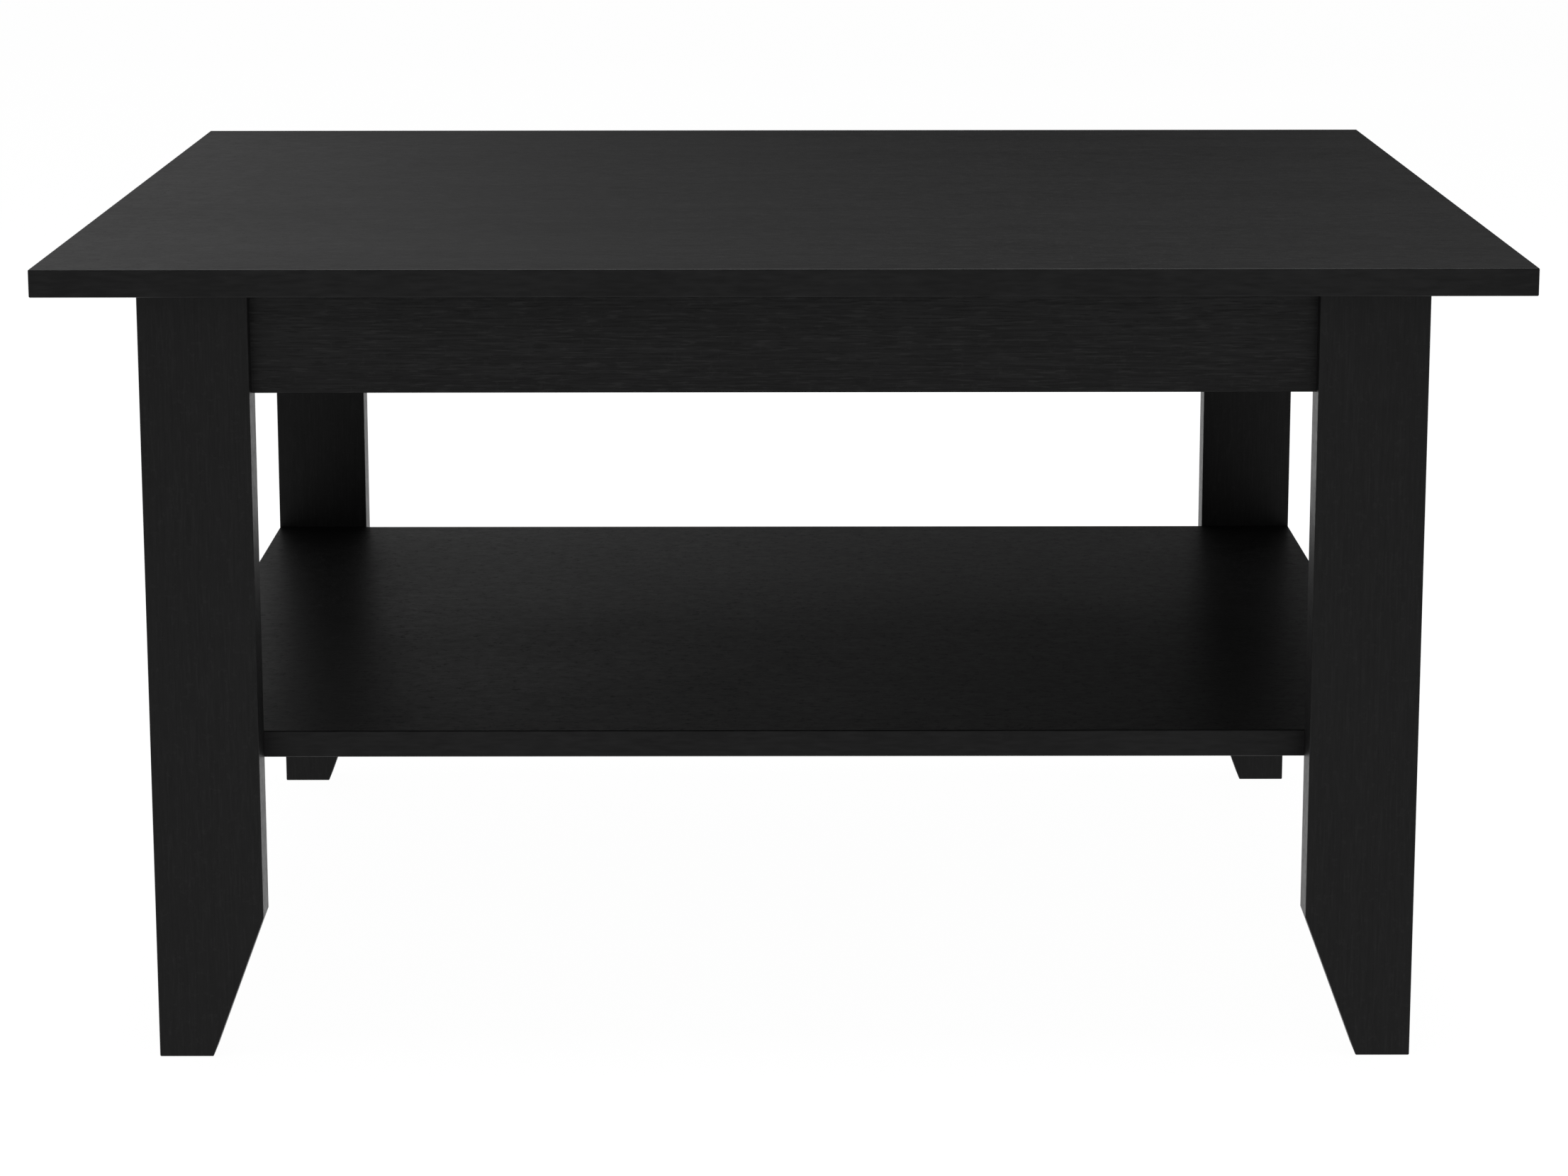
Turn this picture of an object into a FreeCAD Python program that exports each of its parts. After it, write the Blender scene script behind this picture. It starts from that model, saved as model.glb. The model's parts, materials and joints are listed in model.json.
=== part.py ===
"""Lift top coffee table: a one-piece top over a shallow compartment, on four board legs with a lower shelf.

The frame has its origin on the floor under the middle of the top: +X along the length, -Y to the
front, +Z up, in millimetres. The table is the same on both sides, so fasteners are modelled in the
front right quarter and the lift mechanism on the right side, and both are mirrored.
"""
import FreeCAD, Part
import Sketcher
import math
import os
import re

# Driving dimensions, in millimetres and degrees: name, value, meaning.
DIMENSIONS = [
    ("table_length", 800, "top, left to right"),
    ("table_depth", 740, "top, front to back"),
    ("table_height", 450, "floor to the top's upper face"),
    ("top_thickness", 15, "top panel"),
    ("side_overhang", 50, "top past the legs, left and right"),
    ("end_overhang", 45, "top past the legs, front and back"),
    ("leg_width", 60, "leg along the length"),
    ("leg_thickness", 25, "leg along the depth"),
    ("foot_width", 30, "leg at the floor"),
    ("foot_cut_height", 80, "height of the diagonal cut in the foot"),
    ("apron_height", 58, "aprons and side rails"),
    ("apron_thickness", 15, "front and rear apron"),
    ("rail_thickness", 15, "side rails"),
    ("shelf_thickness", 15, "lower shelf"),
    ("shelf_level", 182, "floor to the shelf's upper face"),
    ("edge_radius", 0.8, "softened edges of the boards"),
    ("band_thickness", 1, "edge band of the top and the shelf"),
    ("panel_thickness", 6, "compartment bottom"),
    ("panel_lift", 4, "compartment bottom above the lower edge of the rails"),
    ("groove_depth", 6, "groove that holds the compartment bottom"),
    ("groove_play", 0.2, "play of the compartment bottom in its groove"),
    ("fit", 0.1, "gap round a seated fastener"),
    ("glide_radius", 9, "foot glide"),
    ("glide_thickness", 3, "foot glide"),
    ("glide_proud", 0.5, "glide below the leg"),
    ("nail_radius", 1.5, "nail of the foot glide"),
    ("nail_length", 18, "nail of the foot glide"),
    ("bumper_radius", 5, "bumper under the top"),
    ("bumper_height", 2, "gap between frame and top"),
    ("bumper_inset", 90, "bumper from the nearest leg"),
    ("cam_radius", 7.5, "cam lock"),
    ("cam_depth", 12, "cam lock"),
    ("cam_setback", 24, "cam lock from the board's end"),
    ("cam_bore_radius", 4, "bore for the cam bolt"),
    ("bolt_head_radius", 3.2, "cam bolt"),
    ("bolt_head_length", 3, "cam bolt"),
    ("bolt_neck_radius", 2.2, "cam bolt"),
    ("bolt_thread_radius", 3.4, "cam bolt"),
    ("bolt_thread_length", 11, "cam bolt in the leg"),
    ("dowel_radius", 4, "wooden dowel"),
    ("dowel_length", 30, "wooden dowel"),
    ("dowel_in_leg", 12, "length of the dowel in the leg"),
    ("dowel_below_top", 10, "dowel from the upper edge of the frame"),
    ("shelf_dowel_spread", 15, "shelf dowels either side of the cam bolt"),
    ("screw_head_radius", 4, "countersunk screw"),
    ("screw_head_height", 2.2, "countersunk screw"),
    ("screw_radius", 2, "countersunk screw"),
    ("screw_length", 14, "countersunk screw"),
    ("screw_tip", 3, "point of the screw"),
    ("tip_radius", 0.2, "end of the screw's point"),
    ("recess_width", 1.2, "cross recess in screws and cams"),
    ("recess_depth", 1.1, "cross recess in screws and cams"),
    ("arm_length", 220, "lift arm, pivot to pivot"),
    ("arm_spacing", 100, "front arm to rear arm"),
    ("arm_width", 18, "lift arm"),
    ("arm_thickness", 3, "lift arm"),
    ("plate_thickness", 2.5, "base plate and top bracket"),
    ("pivot_setback", 85, "front base pivot behind the legs"),
    ("pivot_rise", 15, "base pivots above the compartment bottom"),
    ("pivot_drop", 13, "top pivots below the top"),
    ("lift_angle", 120, "turn of the arms from closed to open"),
    ("pin_radius", 4, "pivot pin"),
    ("pin_play", 0.08, "gap between pin and arm"),
    ("head_radius", 7, "head of a pivot pin"),
    ("head_thickness", 2, "head of a pivot pin"),
    ("end_play", 0.1, "side play of an arm on its pin"),
    ("washer_radius", 7.5, "nylon washer"),
    ("washer_thickness", 0.8, "nylon washer"),
    ("sleeve_radius", 6, "spacer sleeve"),
    ("spring_lane", 20.5, "base plate to front arm"),
    ("wire_radius", 1.6, "spring wire"),
    ("wire_play", 0.3, "gap beside the spring"),
    ("spring_leg", 50, "leg of the spring along the arm"),
    ("anchor_leg", 26, "leg of the spring along the base plate"),
    ("stud_radius", 3, "stop and anchor studs"),
    ("stop_reach", 30, "stop stud from the rear base pivot"),
    ("plate_front_reach", 45, "base plate ahead of the front pivot"),
    ("plate_rear_reach", 30, "base plate behind the rear pivot"),
    ("plate_margin", 2, "base plate inside the rail"),
    ("screw_inset", 8, "screw from the edge of a plate"),
    ("bracket_reach", 20, "top bracket past its pivots"),
    ("bracket_drop", 13, "top bracket below its pivots"),
    ("flange_width", 25, "flange of the top bracket"),
]

# Places and sizes that follow from the driving dimensions.
DERIVED = {
    "half_length": "table_length / 2",
    "half_depth": "table_depth / 2",
    "underside": "table_height - top_thickness",
    "leg_outer": "half_length - side_overhang",
    "leg_inner": "leg_outer - leg_width",
    "leg_front": "half_depth - end_overhang",
    "leg_back": "leg_front - leg_thickness",
    "frame_top": "underside - bumper_height",
    "rail_bottom": "frame_top - apron_height",
    "rail_inner": "leg_outer - rail_thickness",
    "apron_mid": "leg_back + apron_thickness / 2",
    "rail_mid": "leg_outer - rail_thickness / 2",
    "panel_bottom": "rail_bottom + panel_lift",
    "panel_top": "panel_bottom + panel_thickness",
    "shelf_bottom": "shelf_level - shelf_thickness",
    "cam_level": "rail_bottom + apron_height / 2",
    "leg_middle": "leg_outer - leg_width / 2",
    "dowel_offset": "frame_top - dowel_below_top - cam_level",
    "plate_inner": "rail_inner - plate_thickness",
    "lane_gap": "washer_thickness + end_play",
    "rear_arm_inner": "plate_inner - lane_gap - arm_thickness",
    "front_arm_outer": "plate_inner - spring_lane",
    "front_arm_inner": "front_arm_outer - arm_thickness",
    "web_outer": "front_arm_inner - lane_gap",
    "web_inner": "web_outer - plate_thickness",
    "base_pivot_z": "panel_top + pivot_rise",
    "top_pivot_z": "underside - pivot_drop",
    "front_base_y": "pivot_setback - leg_back",
    "rear_base_y": "front_base_y + arm_spacing",
    "closed_angle": "asin((top_pivot_z - base_pivot_z) / arm_length)",
    "open_angle": "closed_angle + lift_angle * 1 deg",
    "front_top_y": "front_base_y + arm_length * cos(closed_angle)",
    "rear_top_y": "front_top_y + arm_spacing",
    "coil_radius": "arm_width / 2 + fit + wire_radius",
    "stop_offset": "arm_width / 2 + stud_radius + wire_play",
}

NOWHERE = ("0", "0", "0")
# Turns a local Z axis to X, Y or Z.
TURN_TO = {
    "X": FreeCAD.Rotation(FreeCAD.Vector(0, 1, 0), 90),
    "Y": FreeCAD.Rotation(FreeCAD.Vector(1, 0, 0), -90),
    "Z": FreeCAD.Rotation(),
}
ALONG = {"X": FreeCAD.Vector(1, 0, 0), "Y": FreeCAD.Vector(0, 1, 0), "Z": FreeCAD.Vector(0, 0, 1)}
# Two unit vectors count as parallel above this product.
PARALLEL = 0.999

# The sketcher's numbers for the points of a line or an arc, and for its own axes and origin.
START, END, CENTRE = 1, 2, 3
X_AXIS, Y_AXIS = -1, -2
ORIGIN = (X_AXIS, START)

doc = FreeCAD.newDocument("lift_top_coffee_table")
sheet = doc.addObject("Spreadsheet::Sheet", "dims")
nodes = []


def fill_sheet():
    """Writes each driving dimension into a cell and gives the cell its name."""
    for row, (alias, number, meaning) in enumerate(DIMENSIONS, start=1):
        sheet.set(f"A{row}", alias)
        sheet.set(f"B{row}", str(number))
        sheet.set(f"C{row}", meaning)
        sheet.setAlias(f"B{row}", alias)
    doc.recompute()


def expand(expression):
    """Turns a formula in plain names into one that refers to the sheet's cells."""
    aliases = {alias for alias, _, _ in DIMENSIONS}

    def replace(match):
        word = match.group(0)
        if word in DERIVED:
            return f"({expand(DERIVED[word])})"
        return f"dims.{word}" if word in aliases else word

    return re.sub(r"[a-z_]+", replace, expression)


def value(expression):
    """The number that a formula stands for."""
    result = sheet.evalExpression(expand(expression))
    return getattr(result, "Value", result)


def bind(obj, **formulas):
    """Binds properties of an object to formulas."""
    for name, formula in formulas.items():
        obj.setExpression(name, expand(formula))


def place(obj, position, rotation=FreeCAD.Rotation()):
    """Puts an object at a position given as three formulas."""
    obj.Placement = FreeCAD.Placement(FreeCAD.Vector(), rotation)
    for axis, formula in zip("xyz", position):
        obj.setExpression(f".Placement.Base.{axis}", expand(formula))
    return obj


def tilt(obj, position, angle="closed_angle"):
    """Puts an object at a position, turned about X by an angle given as a formula."""
    place(obj, position, FreeCAD.Rotation(ALONG["X"], 1))
    obj.setExpression(".Placement.Rotation.Angle", expand(angle))
    return obj


def node(obj, label):
    """Names an object as a sub-part of the table."""
    obj.Label = label
    nodes.append(obj)
    return obj


# Primitives and booleans

def box(corner, size):
    obj = doc.addObject("Part::Box", "Box")
    bind(obj, Length=size[0], Width=size[1], Height=size[2])
    return place(obj, corner)


def rod(axis, radius, start, length):
    """A round bar that runs from its start in the positive direction of an axis."""
    obj = doc.addObject("Part::Cylinder", "Rod")
    bind(obj, Radius=radius, Height=length)
    return place(obj, start, TURN_TO[axis])


def cone(axis, radius_start, radius_end, start, length):
    obj = doc.addObject("Part::Cone", "Cone")
    bind(obj, Radius1=radius_start, Radius2=radius_end, Height=length)
    return place(obj, start, TURN_TO[axis])


def fuse(*shapes):
    obj = doc.addObject("Part::MultiFuse", "Fuse")
    obj.Shapes = list(shapes)
    return obj


def cut(base, *tools):
    """Takes the tools out of the base; several tools are fused first."""
    obj = doc.addObject("Part::Cut", "Cut")
    obj.Base = base
    obj.Tool = tools[0] if len(tools) == 1 else fuse(*tools)
    return obj


def group(*shapes):
    """Keeps pieces together as separate solids."""
    obj = doc.addObject("Part::Compound", "Group")
    obj.Links = list(shapes)
    return obj


def mirror(source, axis):
    obj = doc.addObject("Part::Mirroring", "Mirror")
    obj.Source = source
    obj.Normal = ALONG[axis]
    return obj


def both_sides(source):
    return [source, mirror(source, "X")]


def four_corners(source):
    """The piece of the front right quarter, and its copies in the other three."""
    rear = mirror(source, "Y")
    return both_sides(source) + both_sides(rear)


# Sketched bodies

def new_sketch(body, plane):
    sketch = body.newObject("Sketcher::SketchObject", "Outline")
    origin_plane = next(f for f in body.Origin.OriginFeatures if f.Role == plane)
    sketch.AttachmentSupport = [(origin_plane, "")]
    sketch.MapMode = "FlatFace"
    return sketch


def hold(sketch, kind, references, formula):
    """Adds a dimension to a sketch and binds it to a formula."""
    number = sketch.addConstraint(Sketcher.Constraint(kind, *references, value(formula)))
    sketch.setExpression(f"Constraints[{number}]", expand(formula))


def fix_point(sketch, index, coordinates):
    """Holds the start of a line at a place given as two formulas."""
    for formula, axis, kind in zip(coordinates, (Y_AXIS, X_AXIS), ("DistanceX", "DistanceY")):
        if formula == "0":
            sketch.addConstraint(Sketcher.Constraint("PointOnObject", index, START, axis))
        else:
            hold(sketch, kind, (*ORIGIN, index, START), formula)


def prism(plane, outline, depth, rounded=""):
    """A padded polygon. Its edges along the named axes are rounded; "all" rounds every edge."""
    body = doc.addObject("PartDesign::Body", "Body")
    sketch = new_sketch(body, plane)
    corners = [FreeCAD.Vector(value(x), value(y), 0) for x, y in outline]
    for index, corner in enumerate(corners):
        following = corners[(index + 1) % len(corners)]
        sketch.addGeometry(Part.LineSegment(corner, following))
    for index, coordinates in enumerate(outline):
        before = (index - 1) % len(outline)
        sketch.addConstraint(Sketcher.Constraint("Coincident", index, START, before, END))
        fix_point(sketch, index, coordinates)
    pad = body.newObject("PartDesign::Pad", "Pad")
    pad.Profile = sketch
    # The normal of XZ_Plane points to -Y, so a pad from it is reversed to run to +Y.
    pad.Reversed = plane == "XZ_Plane"
    bind(pad, Length=depth)
    doc.recompute()
    if rounded:
        fillet = body.newObject("PartDesign::Fillet", "Fillet")
        fillet.Base = (pad, edges_along(pad.Shape, rounded))
        bind(fillet, Radius="edge_radius")
    return body


def edges_along(shape, axes):
    """Names of the straight edges along any of the axes, or of all edges."""
    names = []
    for number, edge in enumerate(shape.Edges, start=1):
        direction = edge.tangentAt(edge.FirstParameter)
        if axes == "all" or any(abs(direction.dot(ALONG[axis])) > PARALLEL for axis in axes):
            names.append(f"Edge{number}")
    return names


def slab(corner, size, rounded=""):
    """A rectangular board, sketched flat and padded upwards."""
    outline = [("0", "0"), (size[0], "0"), (size[0], size[1]), ("0", size[1])]
    return place(prism("XY_Plane", outline, size[2], rounded), corner)


def banded_panel(corner, size, panel_label, band_label, pockets=()):
    """A panel with an edge band all the way round it."""
    whole = slab(corner, size, "all")
    core_corner = (f"{corner[0]} + band_thickness", f"{corner[1]} + band_thickness", corner[2])
    core_size = (f"{size[0]} - 2 * band_thickness", f"{size[1]} - 2 * band_thickness", size[2])
    core = slab(core_corner, core_size)
    node(cut(core, *pockets), panel_label)
    node(cut(whole, slab(core_corner, core_size), *pockets), band_label)


# Corner joints: cam lock, cam bolt and dowels

def cross_recess(half_width):
    """Cuts a cross into a face at the local origin that looks along -Z."""
    reach = f"2 * ({half_width})"
    across = ("recess_width", reach)
    bars = []
    for width, length in (across, across[::-1]):
        bars.append(box((f"-({width}) / 2", f"-({length}) / 2", "0"), (width, length, "recess_depth")))
    return fuse(*bars)


def corner_joint(position, rotation, half_board, dowel_offsets):
    """Fasteners between a board's end and a leg.

    The local origin is on the end of the board, in the middle of its thickness. Local +X points into
    the leg, and the cam goes into the board along +Z. Returns the lock, bolt, dowels and pockets.
    """
    face = f"-({half_board})"
    lock = cut(
        rod("Z", "cam_radius", ("-cam_setback", "0", face), "cam_depth"),
        rod("X", "cam_bore_radius", ("-cam_setback", "0", "0"), "cam_radius + fit"),
        place(cross_recess("cam_radius / 2"), ("-cam_setback", "0", face)),
    )
    bolt = fuse(
        rod("X", "bolt_head_radius", ("-cam_setback", "0", "0"), "bolt_head_length"),
        rod("X", "bolt_neck_radius", ("-cam_setback", "0", "0"), "cam_setback + fit"),
        rod("X", "bolt_thread_radius", NOWHERE, "bolt_thread_length"),
    )
    pockets = [
        rod("Z", "cam_radius + fit", ("-cam_setback", "0", face), "cam_depth + fit"),
        rod("X", "cam_bore_radius", ("-cam_setback", "0", "0"), "cam_setback"),
        rod("X", "bolt_thread_radius + fit", NOWHERE, "bolt_thread_length + fit"),
    ]
    dowels = []
    for offset in dowel_offsets:
        start = ("dowel_in_leg - dowel_length", offset, "0")
        dowels.append(rod("X", "dowel_radius", start, "dowel_length"))
        hole_start = ("dowel_in_leg - dowel_length - fit", offset, "0")
        pockets.append(rod("X", "dowel_radius + fit", hole_start, "dowel_length + 2 * fit"))
    pieces = [lock, bolt, group(*dowels), fuse(*pockets)]
    return [place(piece, position, rotation) for piece in pieces]


def corner_joints():
    """The three joints of the front right leg: with the apron, the side rail and the shelf."""
    to_rail = FreeCAD.Rotation(-ALONG["Y"], -ALONG["Z"], ALONG["X"], "ZXY")
    joints = [
        corner_joint(
            ("leg_inner", "-apron_mid", "cam_level"), FreeCAD.Rotation(ALONG["X"], 90),
            "apron_thickness / 2", ["dowel_offset"],
        ),
        corner_joint(
            ("rail_mid", "-leg_back", "cam_level"), to_rail,
            "rail_thickness / 2", ["-dowel_offset"],
        ),
        corner_joint(
            ("leg_middle", "-leg_back", "shelf_bottom + shelf_thickness / 2"),
            FreeCAD.Rotation(ALONG["Z"], -90),
            "shelf_thickness / 2", ["-shelf_dowel_spread", "shelf_dowel_spread"],
        ),
    ]
    locks, bolts, dowels, pockets = zip(*joints)
    for label, pieces in (("cam_locks", locks), ("cam_bolts", bolts), ("dowels", dowels)):
        node(group(*four_corners(group(*pieces))), label)
    return fuse(*pockets)


# Boards

def legs(pockets):
    """Four flat legs, each with the inner lower corner cut on a diagonal, and their glides."""
    outline = [
        ("leg_width", "0"),
        ("leg_width", "frame_top - glide_proud"),
        ("0", "frame_top - glide_proud"),
        ("0", "foot_cut_height"),
        ("leg_width - foot_width", "0"),
    ]
    board = place(
        prism("XZ_Plane", outline, "leg_thickness", "all"),
        ("leg_inner", "-leg_front", "glide_proud"),
    )
    foot_x = "leg_outer - foot_width / 2"
    foot_y = "leg_thickness / 2 - leg_front"
    glide_pocket = fuse(
        rod("Z", "glide_radius + fit", (foot_x, foot_y, "0"), "glide_thickness"),
        rod("Z", "nail_radius + fit", (foot_x, foot_y, "0"), "nail_length + fit"),
    )
    labels = ("front_right_leg", "front_left_leg", "rear_right_leg", "rear_left_leg")
    for leg, label in zip(four_corners(cut(board, pockets, glide_pocket)), labels):
        node(leg, label)
    glide = fuse(
        rod("Z", "glide_radius", (foot_x, foot_y, "0"), "glide_thickness"),
        rod("Z", "nail_radius", (foot_x, foot_y, "0"), "nail_length"),
    )
    node(group(*four_corners(glide)), "foot_glides")


def aprons(pockets):
    """Front and rear apron between the legs, flush with the inner faces of the legs."""
    board = slab(
        ("-leg_inner", "-leg_back - apron_thickness", "rail_bottom"),
        ("2 * leg_inner", "apron_thickness", "apron_height"), "X",
    )
    groove = box(
        ("-leg_inner", "-leg_back - groove_depth", "panel_bottom"),
        ("2 * leg_inner", "groove_depth", "panel_thickness + groove_play"),
    )
    front = node(cut(board, groove, *both_sides(pockets)), "front_apron")
    node(mirror(front, "Y"), "rear_apron")


def side_rails(pockets, screw_holes):
    """Side rails between the front and the rear legs, flush with the outer edges of the legs."""
    board = slab(
        ("rail_inner", "-leg_back", "rail_bottom"),
        ("rail_thickness", "2 * leg_back", "apron_height"), "Y",
    )
    groove = box(
        ("rail_inner", "-leg_back", "panel_bottom"),
        ("groove_depth", "2 * leg_back", "panel_thickness + groove_play"),
    )
    right = node(cut(board, groove, pockets, mirror(pockets, "Y"), screw_holes), "right_rail")
    node(mirror(right, "X"), "left_rail")


def compartment_bottom():
    """Thin panel in the grooves of aprons and rails, notched round the legs."""
    across = box(
        ("-(rail_inner + groove_depth - fit)", "-(leg_back - fit)", "panel_bottom"),
        ("2 * (rail_inner + groove_depth - fit)", "2 * (leg_back - fit)", "panel_thickness"),
    )
    along = box(
        ("-(leg_inner - fit)", "-(leg_back + groove_depth - fit)", "panel_bottom"),
        ("2 * (leg_inner - fit)", "2 * (leg_back + groove_depth - fit)", "panel_thickness"),
    )
    node(fuse(across, along), "compartment_bottom")


def lower_shelf(pockets):
    """Shelf between the front and the rear legs, as wide as the legs' outer edges."""
    banded_panel(
        ("-leg_outer", "-leg_back", "shelf_bottom"),
        ("2 * leg_outer", "2 * leg_back", "shelf_thickness"),
        "lower_shelf", "shelf_edge_band", four_corners(pockets),
    )


def top(screw_holes):
    banded_panel(
        ("-half_length", "-half_depth", "underside"),
        ("table_length", "table_depth", "top_thickness"),
        "top_panel", "top_edge_band", both_sides(screw_holes),
    )


def bumpers():
    """Soft dots on the frame's upper edge, where the closed top lands."""
    quarter = group(
        rod("Z", "bumper_radius", ("leg_inner - bumper_inset", "-apron_mid", "frame_top"), "bumper_height"),
        rod("Z", "bumper_radius", ("rail_mid", "bumper_inset - leg_back", "frame_top"), "bumper_height"),
    )
    node(group(*four_corners(quarter)), "top_bumpers")


# Screws

def screw():
    """A countersunk screw whose head is at the local origin and which points along +Z."""
    shank_end = "screw_length - screw_tip"
    body = fuse(
        cone("Z", "screw_head_radius", "screw_radius", NOWHERE, "screw_head_height"),
        rod("Z", "screw_radius", NOWHERE, shank_end),
        cone("Z", "screw_radius", "tip_radius", ("0", "0", shank_end), "screw_tip"),
    )
    return cut(body, cross_recess("screw_head_radius / 2"))


def screw_hole():
    return fuse(
        cone("Z", "screw_head_radius + fit", "screw_radius + fit", NOWHERE, "screw_head_height"),
        rod("Z", "screw_radius + fit", NOWHERE, "screw_length + fit"),
    )


def screw_row(axis, positions, label):
    """Screws at the positions and their mirror images, and one tool with their holes."""
    screws = [place(screw(), position, TURN_TO[axis]) for position in positions]
    holes = [place(screw_hole(), position, TURN_TO[axis]) for position in positions]
    node(group(*both_sides(group(*screws))), label)
    return fuse(*holes)


def plate_screws():
    front = "front_base_y - plate_front_reach + screw_inset"
    rear = "rear_base_y + plate_rear_reach - screw_inset"
    low = "panel_top + plate_margin + screw_inset"
    high = "frame_top - plate_margin - screw_inset"
    positions = [("plate_inner", along, level) for along in (front, rear) for level in (low, high)]
    return screw_row("X", positions, "plate_screws")


def bracket_screws():
    ends = ("front_top_y", "(front_top_y + rear_top_y) / 2", "rear_top_y")
    across = "web_outer - flange_width + screw_inset"
    positions = [(across, along, "underside - plate_thickness") for along in ends]
    return screw_row("Z", positions, "bracket_screws")


# Lift mechanism

def base_plates(screw_holes):
    """Steel plates on the side rails, which carry the base pivots of the arms."""
    low = "panel_top + plate_margin"
    front = "front_base_y - plate_front_reach"
    plate = slab(
        ("plate_inner", front, low),
        (
            "plate_thickness",
            "plate_front_reach + arm_spacing + plate_rear_reach",
            "frame_top - plate_margin - panel_top - plate_margin",
        ),
    )
    holes = [
        rod("X", "pin_radius + fit", ("plate_inner", along, "base_pivot_z"), "plate_thickness")
        for along in ("front_base_y", "rear_base_y")
    ]
    holes += [rod("X", "stud_radius + fit", spot, "plate_thickness") for spot in stud_spots("plate_inner")]
    right = node(cut(plate, screw_holes, *holes), "right_base_plate")
    node(mirror(right, "X"), "left_base_plate")


def stud_spots(across):
    """Places of the stop stud, which the open rear arm meets, and of the spring's anchor stud."""
    stop = (
        across,
        "rear_base_y + stop_reach * cos(open_angle) - stop_offset * sin(open_angle)",
        "base_pivot_z + stop_reach * sin(open_angle) + stop_offset * cos(open_angle)",
    )
    anchor = (
        across,
        "front_base_y - anchor_leg + stud_radius",
        "base_pivot_z - coil_radius + wire_radius + fit + stud_radius",
    )
    return stop, anchor


def studs():
    length = "rail_inner - rear_arm_inner"
    pair = [rod("X", "stud_radius", spot, length) for spot in stud_spots("rear_arm_inner")]
    node(group(*both_sides(group(*pair))), "stop_studs")


def arm_outline(sketch):
    """A bar with round ends that runs along the sketch's first axis from its origin."""
    near = FreeCAD.Vector()
    far = ALONG["X"] * value("arm_length")
    half = value("arm_width") / 2
    up = ALONG["Y"] * half
    right_angle = math.pi / 2
    pieces = [
        Part.LineSegment(near - up, far - up),
        Part.ArcOfCircle(Part.Circle(far, ALONG["Z"], half), -right_angle, right_angle),
        Part.LineSegment(far + up, near + up),
        Part.ArcOfCircle(Part.Circle(near, ALONG["Z"], half), right_angle, 3 * right_angle),
    ]
    lower, far_end, upper, near_end = [sketch.addGeometry(piece) for piece in pieces]
    for one, other in ((lower, far_end), (far_end, upper), (upper, near_end), (near_end, lower)):
        sketch.addConstraint(Sketcher.Constraint("Tangent", one, END, other, START))
    sketch.addConstraint(Sketcher.Constraint("Coincident", near_end, CENTRE, *ORIGIN))
    sketch.addConstraint(Sketcher.Constraint("PointOnObject", far_end, CENTRE, X_AXIS))
    hold(sketch, "Radius", (near_end,), "arm_width / 2")
    hold(sketch, "DistanceX", (*ORIGIN, far_end, CENTRE), "arm_length")
    for end, centre in ((near_end, near), (far_end, far)):
        hole = sketch.addGeometry(Part.Circle(centre, ALONG["Z"], value("pin_radius + pin_play")))
        sketch.addConstraint(Sketcher.Constraint("Coincident", hole, CENTRE, end, CENTRE))
        hold(sketch, "Radius", (hole,), "pin_radius + pin_play")


def arm(across, base_y):
    """A flat bar with a pivot hole at each end, tilted to its closed position."""
    body = doc.addObject("PartDesign::Body", "Arm")
    sketch = new_sketch(body, "YZ_Plane")
    arm_outline(sketch)
    pad = body.newObject("PartDesign::Pad", "Pad")
    pad.Profile = sketch
    bind(pad, Length="arm_thickness")
    return tilt(body, (across, base_y, "base_pivot_z"))


def arms():
    """Front arms run beside the top brackets, rear arms beside the base plates, so that they can cross."""
    for end, across in (("front", "front_arm_inner"), ("rear", "rear_arm_inner")):
        right = node(arm(across, f"{end}_base_y"), f"right_{end}_arm")
        node(mirror(right, "X"), f"left_{end}_arm")


def top_brackets(screw_holes):
    """Steel angles under the top: a web with the top pivots and a flange that is screwed to the top."""
    height = "pivot_drop + bracket_drop"
    outline = [
        ("flange_width", "0"),
        ("flange_width", height),
        ("0", height),
        ("0", f"{height} - plate_thickness"),
        ("flange_width - plate_thickness", f"{height} - plate_thickness"),
        ("flange_width - plate_thickness", "0"),
    ]
    angle = place(
        prism("XZ_Plane", outline, "arm_spacing + 2 * bracket_reach"),
        ("web_outer - flange_width", "front_top_y - bracket_reach", "underside - pivot_drop - bracket_drop"),
    )
    holes = [
        rod("X", "pin_radius + fit", ("web_inner", along, "top_pivot_z"), "plate_thickness")
        for along in ("front_top_y", "rear_top_y")
    ]
    right = node(cut(angle, screw_holes, *holes), "right_top_bracket")
    node(mirror(right, "X"), "left_top_bracket")


def ring(outer, inner, start, length):
    bore = rod("X", inner, start, length)
    return cut(rod("X", outer, start, length), bore)


def base_pins():
    """Pins fixed in the base plates, their heads inboard of the arms."""
    for end in ("front", "rear"):
        spot = (f"{end}_base_y", "base_pivot_z")
        shank_end = f"{end}_arm_inner - end_play"
        pin = fuse(
            rod("X", "pin_radius", (shank_end, *spot), f"rail_inner - ({shank_end})"),
            rod("X", "head_radius", (f"{shank_end} - head_thickness", *spot), "head_thickness"),
        )
        node(group(*both_sides(pin)), f"{end}_base_pins")


def top_pins():
    """Pins fixed in the top brackets, their heads outboard of the arms."""
    for end, arm_outer in (("front", "front_arm_outer"), ("rear", "rear_arm_inner + arm_thickness")):
        spot = (f"{end}_top_y", "top_pivot_z")
        shank_end = f"{arm_outer} + end_play"
        pin = fuse(
            rod("X", "pin_radius", ("web_inner", *spot), f"{shank_end} - web_inner"),
            rod("X", "head_radius", (shank_end, *spot), "head_thickness"),
        )
        node(group(*both_sides(pin)), f"{end}_top_pins")


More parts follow.
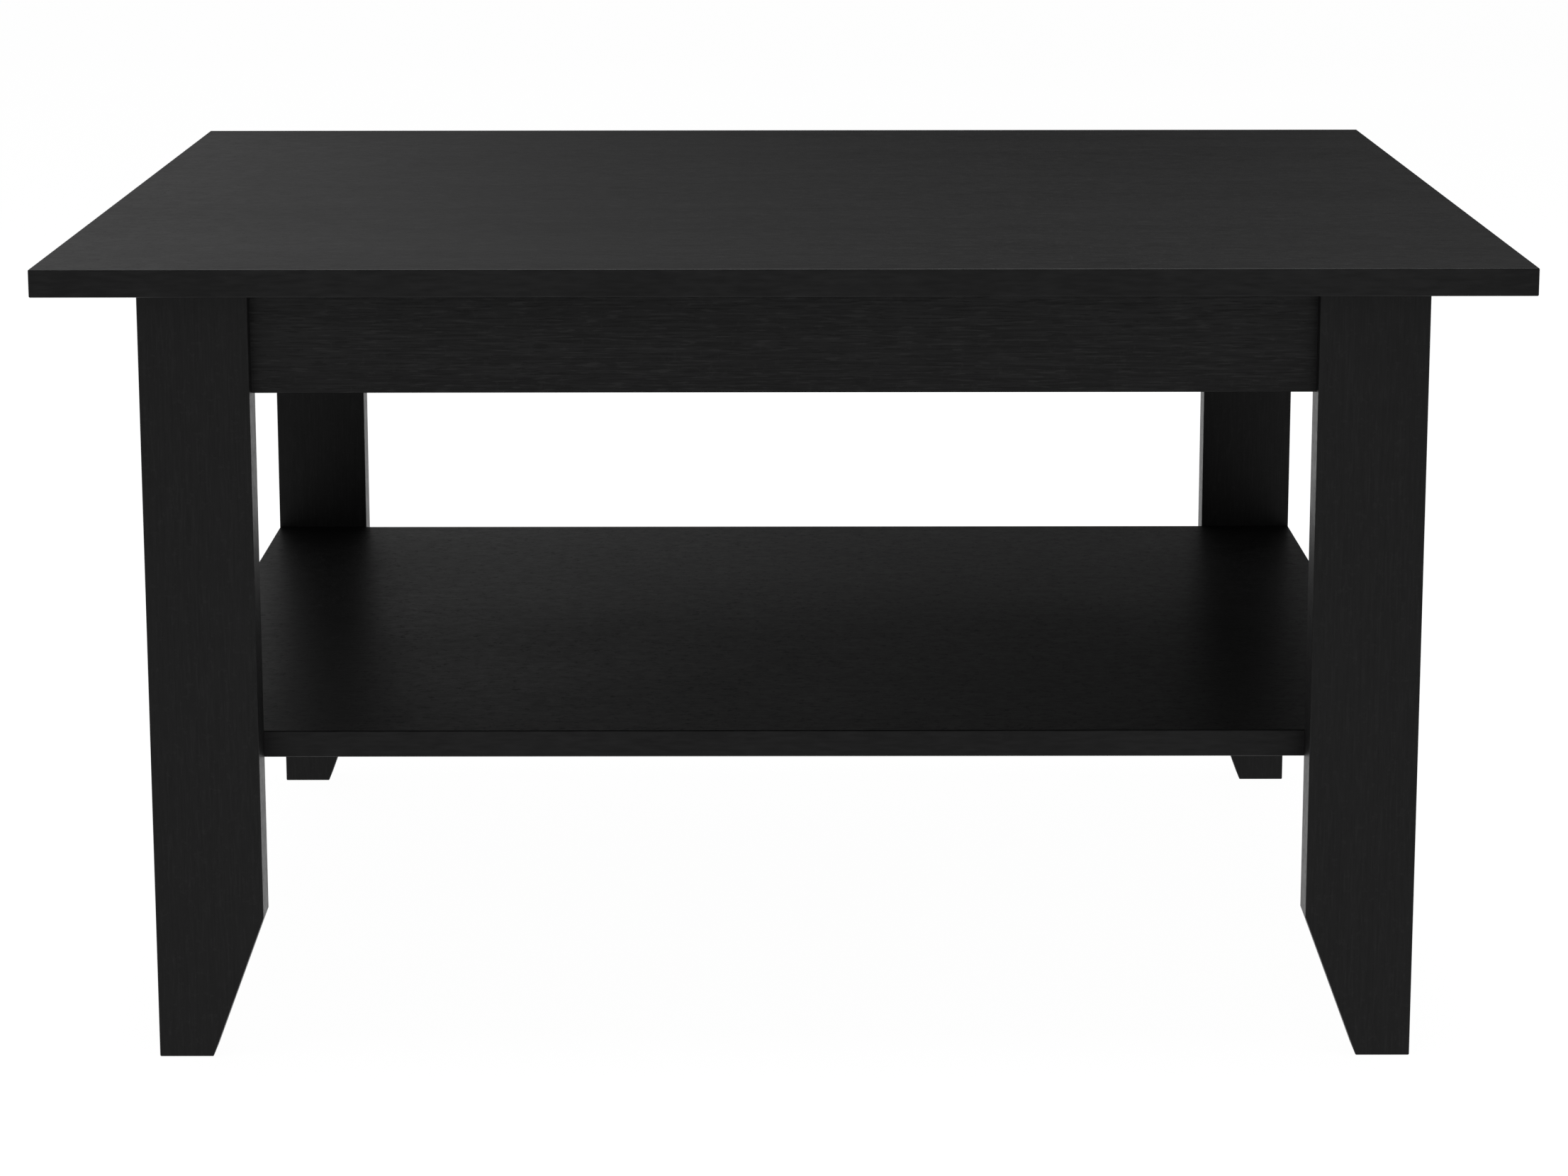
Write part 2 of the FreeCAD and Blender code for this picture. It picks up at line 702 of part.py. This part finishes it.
def sleeves_and_washers():
    """Sleeves that bridge the spring lane on the long pins, and a washer beside each arm."""
    bore = "pin_radius + fit"
    thick = "washer_thickness"
    front_base = ("front_base_y", "base_pivot_z")
    rear_base = ("rear_base_y", "base_pivot_z")
    front_top = ("front_top_y", "top_pivot_z")
    rear_top = ("rear_top_y", "top_pivot_z")
    base_start = "front_arm_outer + end_play + washer_thickness"
    top_end = "rear_arm_inner - end_play - washer_thickness"
    base_sleeve = ring("sleeve_radius", bore, (base_start, *front_base), f"plate_inner - ({base_start})")
    top_sleeve = ring("sleeve_radius", bore, ("web_outer", *rear_top), f"{top_end} - web_outer")
    base_washers = [
        ring("washer_radius", bore, ("front_arm_outer + end_play", *front_base), thick),
        ring("washer_radius", bore, ("plate_inner - washer_thickness", *rear_base), thick),
    ]
    top_washers = [
        ring("washer_radius", bore, ("web_outer", *front_top), thick),
        ring("washer_radius", bore, (top_end, *rear_top), thick),
    ]
    node(group(*both_sides(base_sleeve)), "base_sleeves")
    node(group(*both_sides(top_sleeve)), "top_sleeves")
    node(group(*both_sides(group(*base_washers))), "base_washers")
    node(group(*both_sides(group(*top_washers))), "top_washers")


def spring_ends():
    """The turn of each spring next to the arm, its leg and the hook under the arm.

    They turn with the front arm. The coil is modelled on its own, because it stays on the base plate.
    """
    across = "front_arm_outer + wire_play + wire_radius"
    turn = doc.addObject("Part::Torus", "Turn")
    bind(turn, Radius1="coil_radius", Radius2="wire_radius")
    place(turn, NOWHERE, TURN_TO["X"])
    bend = doc.addObject("Part::Sphere", "Bend")
    bind(bend, Radius="wire_radius")
    place(bend, ("0", "spring_leg", "-coil_radius"))
    hook_length = f"{across} - front_arm_inner"
    end = fuse(
        turn,
        rod("Y", "wire_radius", ("0", "0", "-coil_radius"), "spring_leg"),
        bend,
        rod("X", "wire_radius", (f"-({hook_length})", "spring_leg", "-coil_radius"), hook_length),
    )
    right = node(tilt(end, (across, "front_base_y", "base_pivot_z")), "right_spring_end")
    node(mirror(right, "X"), "left_spring_end")


def coil_path(radius, rise, turns):
    """Centre line of a left-handed coil about Z, made of half turns that each climb by half the pitch."""
    climb = rise / turns / 2
    halves = []
    for index in range(2 * turns):
        side = radius if index % 2 == 0 else -radius
        level = index * climb
        start = FreeCAD.Vector(side, 0, level)
        middle = FreeCAD.Vector(0, -side, level + climb / 2)
        end = FreeCAD.Vector(-side, 0, level + climb)
        halves.append(Part.Arc(start, middle, end).toShape())
    return halves


def spring_coils():
    """The coil of each torsion spring, round the front base pivot, with the leg under its anchor stud."""
    wire = value("wire_radius")
    radius = value("coil_radius")
    start = value("front_arm_outer + 2 * wire_play + 3 * wire_radius")
    rise = value("plate_inner - wire_play - wire_radius") - start
    turns = math.floor(rise / (2 * wire + value("fit") / 2))
    exit_point = FreeCAD.Vector(radius, 0, rise)
    leg = Part.makeLine(exit_point, exit_point - ALONG["Y"] * value("anchor_leg"))
    profile = Part.Wire(Part.makeCircle(wire, FreeCAD.Vector(radius, 0, 0), ALONG["Y"]))
    feature = doc.addObject("Part::Feature", "Coil")
    feature.Shape = Part.Wire([*coil_path(radius, rise, turns), leg]).makePipeShell([profile], True, True)
    place(feature, (str(start), "front_base_y", "base_pivot_z"), TURN_TO["X"])
    right = node(feature, "right_spring_coil")
    node(mirror(right, "X"), "left_spring_coil")


def check(objects):
    """Stops if any object failed or any sub-part is empty or not valid."""
    failed = [o.Name for o in objects if "Invalid" in o.State or "Error" in o.State]
    failed += [n.Label for n in nodes if n.Shape.isNull() or not n.Shape.isValid() or not n.Shape.Solids]
    if failed:
        raise SystemExit(f"failed: {failed}")


def export():
    os.makedirs("parts", exist_ok=True)
    for piece in nodes:
        piece.Shape.exportStep(f"parts/{piece.Label}.step")
        print(piece.Label, len(piece.Shape.Solids), "solids,", round(piece.Shape.Volume), "mm3")


def build():
    fill_sheet()
    pockets = corner_joints()
    rail_holes = plate_screws()
    top_holes = bracket_screws()
    top(top_holes)
    legs(pockets)
    aprons(pockets)
    side_rails(pockets, rail_holes)
    compartment_bottom()
    lower_shelf(pockets)
    bumpers()
    base_plates(rail_holes)
    studs()
    arms()
    top_brackets(top_holes)
    base_pins()
    top_pins()
    sleeves_and_washers()
    spring_ends()
    spring_coils()
    doc.recompute()
    check(doc.Objects)
    export()


build()
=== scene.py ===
"""Looks of the lift top coffee table: black wood-grain laminate boards and steel lift hardware.

Everything is in metres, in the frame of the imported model: origin on the floor, -Y to the front.
"""
import json
import math

import bpy
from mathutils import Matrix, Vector


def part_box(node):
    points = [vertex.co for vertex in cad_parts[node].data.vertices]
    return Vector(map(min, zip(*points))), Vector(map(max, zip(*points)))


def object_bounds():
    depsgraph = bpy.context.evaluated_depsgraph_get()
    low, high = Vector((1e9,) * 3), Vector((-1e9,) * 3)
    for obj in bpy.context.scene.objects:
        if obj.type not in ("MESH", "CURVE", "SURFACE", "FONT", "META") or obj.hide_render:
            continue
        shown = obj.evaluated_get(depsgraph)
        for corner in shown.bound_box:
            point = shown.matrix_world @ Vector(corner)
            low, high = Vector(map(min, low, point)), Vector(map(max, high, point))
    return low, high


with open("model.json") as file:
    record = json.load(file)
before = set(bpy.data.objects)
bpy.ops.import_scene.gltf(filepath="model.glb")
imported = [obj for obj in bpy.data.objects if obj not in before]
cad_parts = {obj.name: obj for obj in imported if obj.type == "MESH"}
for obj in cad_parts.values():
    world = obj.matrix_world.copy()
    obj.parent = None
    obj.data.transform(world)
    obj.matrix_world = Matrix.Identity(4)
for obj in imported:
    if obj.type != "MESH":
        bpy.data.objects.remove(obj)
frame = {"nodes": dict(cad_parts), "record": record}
CAD_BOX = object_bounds()
SCENE = bpy.context.scene

# Camera: in front of the table, a little above it, with a long lens.
LENS_MM = 98.456
SENSOR_MM = 36.0
CAMERA_TO_FRONT_EDGE = 2.2545
CAMERA_HEIGHT = 0.7469
CAMERA_PITCH = math.radians(11.757)
CAMERA_ROLL = math.radians(0.0645)
CAMERA_YAW = math.radians(-0.0123)

# Colours of the black laminate, linear. Contrast 1 is the full grain, and the legs are plainer.
BLACK = (0.0028, 0.0028, 0.0029, 1.0)
MIDDLE_BLACK = (0.0056, 0.0056, 0.0057, 1.0)
BLACK_HIGH = (0.0092, 0.0092, 0.0094, 1.0)
PORE = (0.0012, 0.0012, 0.0012, 1.0)
SPECK = (0.020, 0.020, 0.020, 1.0)
# Lighter edge colour: a painted highlight along the board edges, where a rounded edge would catch the
# light.
PAINTED_EDGE_HIGHLIGHT = (0.018, 0.018, 0.018, 1.0)
FULL_CONTRAST = 1.0
LEG_CONTRAST = 0.3
LAMINATE_SHEEN = 0.14
BOARD_EDGE = 0.0012

# Wall far behind the table, which its boards mirror at a low angle: brighter to the left.
CARD_HALF_WIDTH = 7.0
CARD_BACK = 5.5
CARD_BOTTOM = 0.35
CARD_TOP = 4.2
CARD_RAMP_HALF = 2.0
CARD_GLOW = ((0.12, 0.295), (0.32, 0.148), (0.42, 0.085), (0.62, 0.018), (1.0, 0.065))

# Floor and surroundings.
FLOOR_REACH = 40.0
FLOOR_GREY = 0.06
FLOOR_GLOW = 0.98
WORLD_STRENGTH = 0.16

# Softboxes: name, place, what it points at, width, height, watts.
SOFTBOXES = (
    ("overhead_back", (-0.3, 1.3, 3.0), (0.0, 0.0, 0.3), 4.5, 4.0, 20),
    ("overhead", (0.0, -0.1, 3.0), (0.0, 0.0, 0.3), 1.8, 1.6, 75),
    ("front_wall", (0.0, -3.3, 0.42), (0.0, 0.0, 0.42), 8.0, 0.7, 3),
    ("back_wall", (0.0, 3.3, 0.42), (0.0, 0.0, 0.42), 8.0, 0.7, 0.8),
    ("left_wall", (-3.6, 0.0, 0.42), (0.0, 0.0, 0.42), 6.0, 0.7, 12),
    ("right_wall", (3.6, 0.0, 0.42), (0.0, 0.0, 0.42), 6.0, 0.7, 12),
    ("shelf_glow", (0.35, 2.2, 0.33), (0.35, 0.0, 0.33), 2.4, 0.16, 0.5),
    ("front_fill", (0.0, -4.5, 2.0), (0.0, 0.0, 0.3), 3.0, 1.6, 16),
)


# Node helpers

class Nodes:
    """Builds a node material a line at a time."""

    def __init__(self, name):
        self.material = bpy.data.materials.new(name)
        self.material.use_nodes = True
        self.tree = self.material.node_tree
        self.tree.nodes.clear()
        self.output = self.tree.nodes.new("ShaderNodeOutputMaterial")
        self.shader = self.tree.nodes.new("ShaderNodeBsdfPrincipled")
        self.link(self.shader.outputs["BSDF"], self.output.inputs["Surface"])
        self.coordinates = self.tree.nodes.new("ShaderNodeTexCoord").outputs["Object"]

    def link(self, source, target):
        self.tree.links.new(source, target)

    def set(self, **sockets):
        """Sets shader sockets that are the same all over the surface."""
        for name, value in sockets.items():
            self.shader.inputs[name.replace("_", " ")].default_value = value

    def mapped(self, scale, offset=(0, 0, 0)):
        node = self.tree.nodes.new("ShaderNodeMapping")
        node.inputs["Scale"].default_value = scale
        node.inputs["Location"].default_value = offset
        self.link(self.coordinates, node.inputs["Vector"])
        return node.outputs["Vector"]

    def noise(self, scale, vector=None, detail=3.0, roughness=0.5, distortion=0.0):
        node = self.tree.nodes.new("ShaderNodeTexNoise")
        node.inputs["Scale"].default_value = scale
        node.inputs["Detail"].default_value = detail
        node.inputs["Roughness"].default_value = roughness
        node.inputs["Distortion"].default_value = distortion
        self.link(vector or self.coordinates, node.inputs["Vector"])
        return node.outputs["Fac"]

    def ramp(self, value, *stops):
        """Colour ramp; a stop is (position, grey) or (position, colour)."""
        node = self.tree.nodes.new("ShaderNodeValToRGB")
        elements = node.color_ramp.elements
        while len(elements) < len(stops):
            elements.new(0.5)
        for element, (position, colour) in zip(elements, stops):
            element.position = position
            element.color = colour if isinstance(colour, tuple) else (colour, colour, colour, 1.0)
        self.link(value, node.inputs["Fac"])
        return node.outputs["Color"]

    def range(self, value, low, high, from_low=0.0, from_high=1.0):
        node = self.tree.nodes.new("ShaderNodeMapRange")
        self.link(value, node.inputs["Value"])
        limits = (("From Min", from_low), ("From Max", from_high), ("To Min", low), ("To Max", high))
        for name, number in limits:
            node.inputs[name].default_value = number
        return node.outputs["Result"]

    def math(self, operation, first, second):
        node = self.tree.nodes.new("ShaderNodeMath")
        node.operation = operation
        for socket, value in zip(node.inputs, (first, second)):
            if isinstance(value, (int, float)):
                socket.default_value = value
            else:
                self.link(value, socket)
        return node.outputs["Value"]

    def mix(self, factor, first, second):
        """Blends two colours."""
        node = self.tree.nodes.new("ShaderNodeMix")
        node.data_type = "RGBA"
        sockets = {s.identifier: s for s in node.inputs}
        named = (("Factor_Float", factor), ("A_Color", first), ("B_Color", second))
        for identifier, value in named:
            if isinstance(value, (int, float, tuple)):
                sockets[identifier].default_value = value
            else:
                self.link(value, sockets[identifier])
        return next(s for s in node.outputs if s.identifier == "Result_Color")

    def edges(self, radius):
        """1 on edges and corners within a radius, 0 on flat faces."""
        bevel = self.tree.nodes.new("ShaderNodeBevel")
        bevel.samples = 4
        bevel.inputs["Radius"].default_value = radius
        geometry = self.tree.nodes.new("ShaderNodeNewGeometry")
        dot = self.tree.nodes.new("ShaderNodeVectorMath")
        dot.operation = "DOT_PRODUCT"
        self.link(bevel.outputs["Normal"], dot.inputs[0])
        self.link(geometry.outputs["Normal"], dot.inputs[1])
        return self.range(dot.outputs["Value"], 1.0, 0.0, 0.7, 0.98)

    def bump(self, height, distance, strength):
        node = self.tree.nodes.new("ShaderNodeBump")
        node.inputs["Strength"].default_value = strength
        node.inputs["Distance"].default_value = distance
        self.link(height, node.inputs["Height"])
        self.link(node.outputs["Normal"], self.shader.inputs["Normal"])

    def colour(self, value):
        self.link(value, self.shader.inputs["Base Color"])

    def rough(self, value):
        self.link(value, self.shader.inputs["Roughness"])


# Materials

def stretched(axis, along, across):
    """Scale that is low along the grain's axis and high across it."""
    return tuple(along if letter == axis else across for letter in "XYZ")


def laminate(name, axis, seed, contrast):
    """Printed and embossed black wood grain that runs along an axis."""
    n = Nodes(name)
    offset = (seed * 1.7, seed * 2.3, seed * 3.1)
    bands = n.noise(1.0, n.mapped(stretched(axis, 1.5, 22.0), offset), 4.0, 0.6, 0.6)
    streaks = n.noise(1.0, n.mapped(stretched(axis, 26.0, 820.0), offset), 2.0, 0.6)
    dashes = n.noise(1.0, n.mapped(stretched(axis, 75.0, 900.0), offset), 1.0, 0.5)
    specks = n.noise(300.0, n.mapped((1, 1, 1), offset), 2.0, 0.6)
    mottle = n.noise(110.0, n.mapped((1, 1, 1), offset), 3.0, 0.7)
    dash_mask = n.ramp(dashes, (0.60, 0.0), (0.66, 1.0))
    fleck_mask = n.ramp(dashes, (0.34, 1.0), (0.40, 0.0))
    speck_mask = n.ramp(specks, (0.58, 0.0), (0.70, 1.0))
    grain = n.math("ADD", n.math("MULTIPLY", bands, 0.3), n.math("MULTIPLY", streaks, 0.7))
    base = n.mix(contrast, MIDDLE_BLACK, n.ramp(grain, (0.39, BLACK), (0.61, BLACK_HIGH)))
    base = n.mix(n.math("MULTIPLY", dash_mask, 0.75 * contrast), base, PORE)
    base = n.mix(n.math("MULTIPLY", fleck_mask, 0.5 * contrast), base, SPECK)
    base = n.mix(n.math("MULTIPLY", speck_mask, 0.25), base, SPECK)
    # Edges and corners of the board are painted lighter: a painted highlight.
    n.colour(n.mix(n.math("MULTIPLY", n.edges(BOARD_EDGE), 0.35), base, PAINTED_EDGE_HIGHLIGHT))
    smear = n.noise(5.0, n.mapped((1, 1, 1), offset), 4.0, 0.6)
    rough = n.range(smear, 0.355, 0.405, 0.3, 0.7)
    rough = n.math("ADD", rough, n.range(mottle, -0.028, 0.028, 0.35, 0.65))
    rough = n.math("ADD", rough, n.math("MULTIPLY", speck_mask, 0.10))
    n.rough(n.math("ADD", rough, n.math("MULTIPLY", streaks, 0.06)))
    relief = n.math("SUBTRACT", n.math("MULTIPLY", streaks, 0.8), n.math("MULTIPLY", dash_mask, 0.6))
    n.bump(n.math("ADD", relief, n.math("MULTIPLY", speck_mask, 0.3)), 0.00008, 0.6 * contrast)
    n.set(Specular_IOR_Level=LAMINATE_SHEEN)
    return n.material


def edge_band(name):
    """Thin plastic band along the edges of a board."""
    n = Nodes(name)
    lines = n.noise(1.0, n.mapped((70.0, 70.0, 420.0)), 2.0, 0.5)
    cloud = n.noise(14.0, detail=3.0)
    blend = n.math("MULTIPLY", n.math("ADD", lines, cloud), 0.5)
    base = n.ramp(blend, (0.38, BLACK), (0.62, BLACK_HIGH))
    # Edges and corners of the band are painted lighter: a painted highlight.
    n.colour(n.mix(n.math("MULTIPLY", n.edges(BOARD_EDGE), 0.4), base, PAINTED_EDGE_HIGHLIGHT))
    n.rough(n.range(cloud, 0.36, 0.48, 0.3, 0.7))
    n.bump(lines, 0.00003, 0.5)
    n.set(Specular_IOR_Level=LAMINATE_SHEEN)
    return n.material


def fibreboard(name):
    n = Nodes(name)
    fibres = n.noise(1.0, n.mapped((90.0, 420.0, 420.0)), 3.0, 0.6, 1.0)
    cloud = n.noise(9.0, detail=4.0)
    n.colour(n.ramp(n.math("MULTIPLY", n.math("ADD", fibres, cloud), 0.5),
                    (0.35, (0.026, 0.026, 0.026, 1.0)), (0.65, (0.046, 0.045, 0.044, 1.0))))
    n.rough(n.range(cloud, 0.55, 0.72, 0.3, 0.7))
    n.bump(fibres, 0.00005, 0.5)
    n.set(Specular_IOR_Level=0.25)
    return n.material


def beech(name):
    n = Nodes(name)
    rays = n.noise(1.0, n.mapped((240.0, 240.0, 700.0)), 3.0, 0.6)
    n.colour(n.ramp(rays, (0.3, (0.42, 0.26, 0.13, 1.0)), (0.7, (0.66, 0.47, 0.27, 1.0))))
    n.rough(n.range(rays, 0.6, 0.8))
    n.bump(rays, 0.00005, 0.4)
    return n.material


def metal(name, dark, light, rough_low, rough_high, grain=500.0, relief=0.00002):
    """Bare or plated metal with fine brushing and cloudy roughness."""
    n = Nodes(name)
    brushed = n.noise(1.0, n.mapped((grain / 8, grain, grain)), 3.0, 0.6)
    cloud = n.noise(60.0, detail=4.0)
    base = n.ramp(n.math("MULTIPLY", n.math("ADD", brushed, cloud), 0.5), (0.35, dark), (0.65, light))
    # Edges and corners painted towards the lighter metal colour: a painted highlight.
    n.colour(n.mix(n.math("MULTIPLY", n.edges(0.0006), 0.3), base, light))
    n.rough(n.range(cloud, rough_low, rough_high, 0.3, 0.7))
    n.bump(brushed, relief, 0.4)
    n.set(Metallic=1.0)
    return n.material


def powder_coat(name):
    """Black powder coat: fine orange peel, with bare steel just showing on worn edges."""
    n = Nodes(name)
    peel = n.noise(900.0, detail=2.0)
    cloud = n.noise(30.0, detail=3.0)
    base = n.ramp(cloud, (0.3, (0.028, 0.028, 0.029, 1.0)), (0.7, (0.046, 0.046, 0.048, 1.0)))
    chips = n.ramp(n.noise(220.0, detail=3.0), (0.5, 0.0), (0.62, 1.0))
    wear = n.math("MULTIPLY", n.edges(0.0007), n.math("MULTIPLY", chips, 0.6))
    n.colour(n.mix(wear, base, (0.24, 0.24, 0.245, 1.0)))
    n.rough(n.range(cloud, 0.38, 0.5, 0.3, 0.7))
    n.bump(peel, 0.00004, 0.5)
    n.set(Specular_IOR_Level=0.5)
    return n.material


def plastic(name, dark, light, rough_low, rough_high):
    """Moulded plastic or rubber with a fine matt texture."""
    n = Nodes(name)
    texture = n.noise(700.0, detail=2.0)
    cloud = n.noise(40.0, detail=3.0)
    n.colour(n.ramp(cloud, (0.3, dark), (0.7, light)))
    n.rough(n.range(cloud, rough_low, rough_high, 0.3, 0.7))
    n.bump(texture, 0.00003, 0.5)
    return n.material


def grey(value):
    return (value, value, value * 1.02, 1.0)


def hardware_materials():
    return {
        "edge_band": edge_band("edge_band"),
        "hardboard": fibreboard("hardboard"),
        "bare_wood": beech("bare_wood"),
        "zinc": metal("zinc", grey(0.38), grey(0.52), 0.38, 0.52, 300.0, 0.00004),
        "plated_steel": metal("plated_steel", grey(0.50), grey(0.66), 0.22, 0.34),
        "spring_steel": metal("spring_steel", grey(0.16), grey(0.26), 0.26, 0.38),
        "black_steel": powder_coat("black_steel"),
        "nylon": plastic("nylon", (0.62, 0.61, 0.56, 1.0), (0.74, 0.73, 0.69, 1.0), 0.4, 0.55),
        "glide_plastic": plastic("glide_plastic", grey(0.012), grey(0.02), 0.45, 0.6),
        "bumper_rubber": plastic("bumper_rubber", grey(0.014), grey(0.022), 0.6, 0.75),
    }


def longest_axis(node):
    low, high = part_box(node)
    size = high - low
    return "XYZ"[max(range(3), key=lambda i: size[i])]


def dress_nodes():
    """Gives every CAD node its material; each laminate board has its own grain."""
    shared = hardware_materials()
    for seed, entry in enumerate(frame["record"]["subparts"]):
        node, slot = entry["node"], entry["material_slot"]
        contrast = LEG_CONTRAST if node.endswith("_leg") else FULL_CONTRAST
        material = shared.get(slot) or laminate(f"laminate_{node}", longest_axis(node), seed, contrast)
        mesh = frame["nodes"][node].data
        mesh.materials.clear()
        mesh.materials.append(material)


# Stage

def make_floor():
    """Pale floor out to the horizon. It glows a little, so that it stays evenly pale."""
    mesh = bpy.data.meshes.new("floor")
    corners = [(x * FLOOR_REACH, y * FLOOR_REACH, 0) for x, y in ((-1, -1), (1, -1), (1, 1), (-1, 1))]
    mesh.from_pydata(corners, [], [(0, 1, 2, 3)])
    floor = bpy.data.objects.new("floor", mesh)
    SCENE.collection.objects.link(floor)
    n = Nodes("floor_paint")
    n.set(Base_Color=(FLOOR_GREY, FLOOR_GREY, FLOOR_GREY, 1.0), Roughness=0.9, Specular_IOR_Level=0.0)
    n.set(Emission_Color=(1.0, 1.0, 1.0, 1.0), Emission_Strength=FLOOR_GLOW)
    mesh.materials.append(n.material)


def softbox(name, position, target, width, height, watts):
    light = bpy.data.lights.new(name, "AREA")
    light.shape = "RECTANGLE"
    light.size = width
    light.size_y = height
    light.energy = watts
    lamp = bpy.data.objects.new(name, light)
    lamp.location = position
    lamp.rotation_euler = (Vector(target) - Vector(position)).to_track_quat("-Z", "Y").to_euler()
    lamp.visible_camera = False
    SCENE.collection.objects.link(lamp)


def make_card():
    mesh = bpy.data.meshes.new("back_card")
    low, high, half = CARD_BOTTOM, CARD_TOP, CARD_HALF_WIDTH
    corners = [(x, CARD_BACK, z) for x, z in ((-half, low), (half, low), (half, high), (-half, high))]
    mesh.from_pydata(corners, [], [(0, 1, 2, 3)])
    card = bpy.data.objects.new("back_card", mesh)
    SCENE.collection.objects.link(card)
    n = Nodes("back_card_paint")
    across = n.tree.nodes.new("ShaderNodeSeparateXYZ")
    n.link(n.coordinates, across.inputs["Vector"])
    glow = n.ramp(n.range(across.outputs["X"], 0.0, 1.0, -CARD_RAMP_HALF, CARD_RAMP_HALF), *CARD_GLOW)
    n.set(Base_Color=(0.0, 0.0, 0.0, 1.0), Roughness=1.0, Specular_IOR_Level=0.0, Emission_Strength=1.0)
    n.link(glow, n.shader.inputs["Emission Color"])
    mesh.materials.append(n.material)


def make_lights():
    for light in SOFTBOXES:
        softbox(*light)
    world = bpy.data.worlds.new("studio")
    world.use_nodes = True
    background = world.node_tree.nodes["Background"]
    background.inputs["Color"].default_value = (1.0, 1.0, 1.0, 1.0)
    background.inputs["Strength"].default_value = WORLD_STRENGTH
    SCENE.world = world
    SCENE.view_settings.view_transform = "Standard"


def make_camera():
    data = bpy.data.cameras.new("camera")
    data.lens = LENS_MM
    data.sensor_width = SENSOR_MM
    camera = bpy.data.objects.new("camera", data)
    front_edge = CAD_BOX[0].y
    camera.location = (0.0, front_edge - CAMERA_TO_FRONT_EDGE, CAMERA_HEIGHT)
    camera.rotation_euler = (math.pi / 2 - CAMERA_PITCH, CAMERA_ROLL, CAMERA_YAW)
    SCENE.collection.objects.link(camera)
    SCENE.camera = camera


make_camera()
make_floor()
make_card()
make_lights()
dress_nodes()
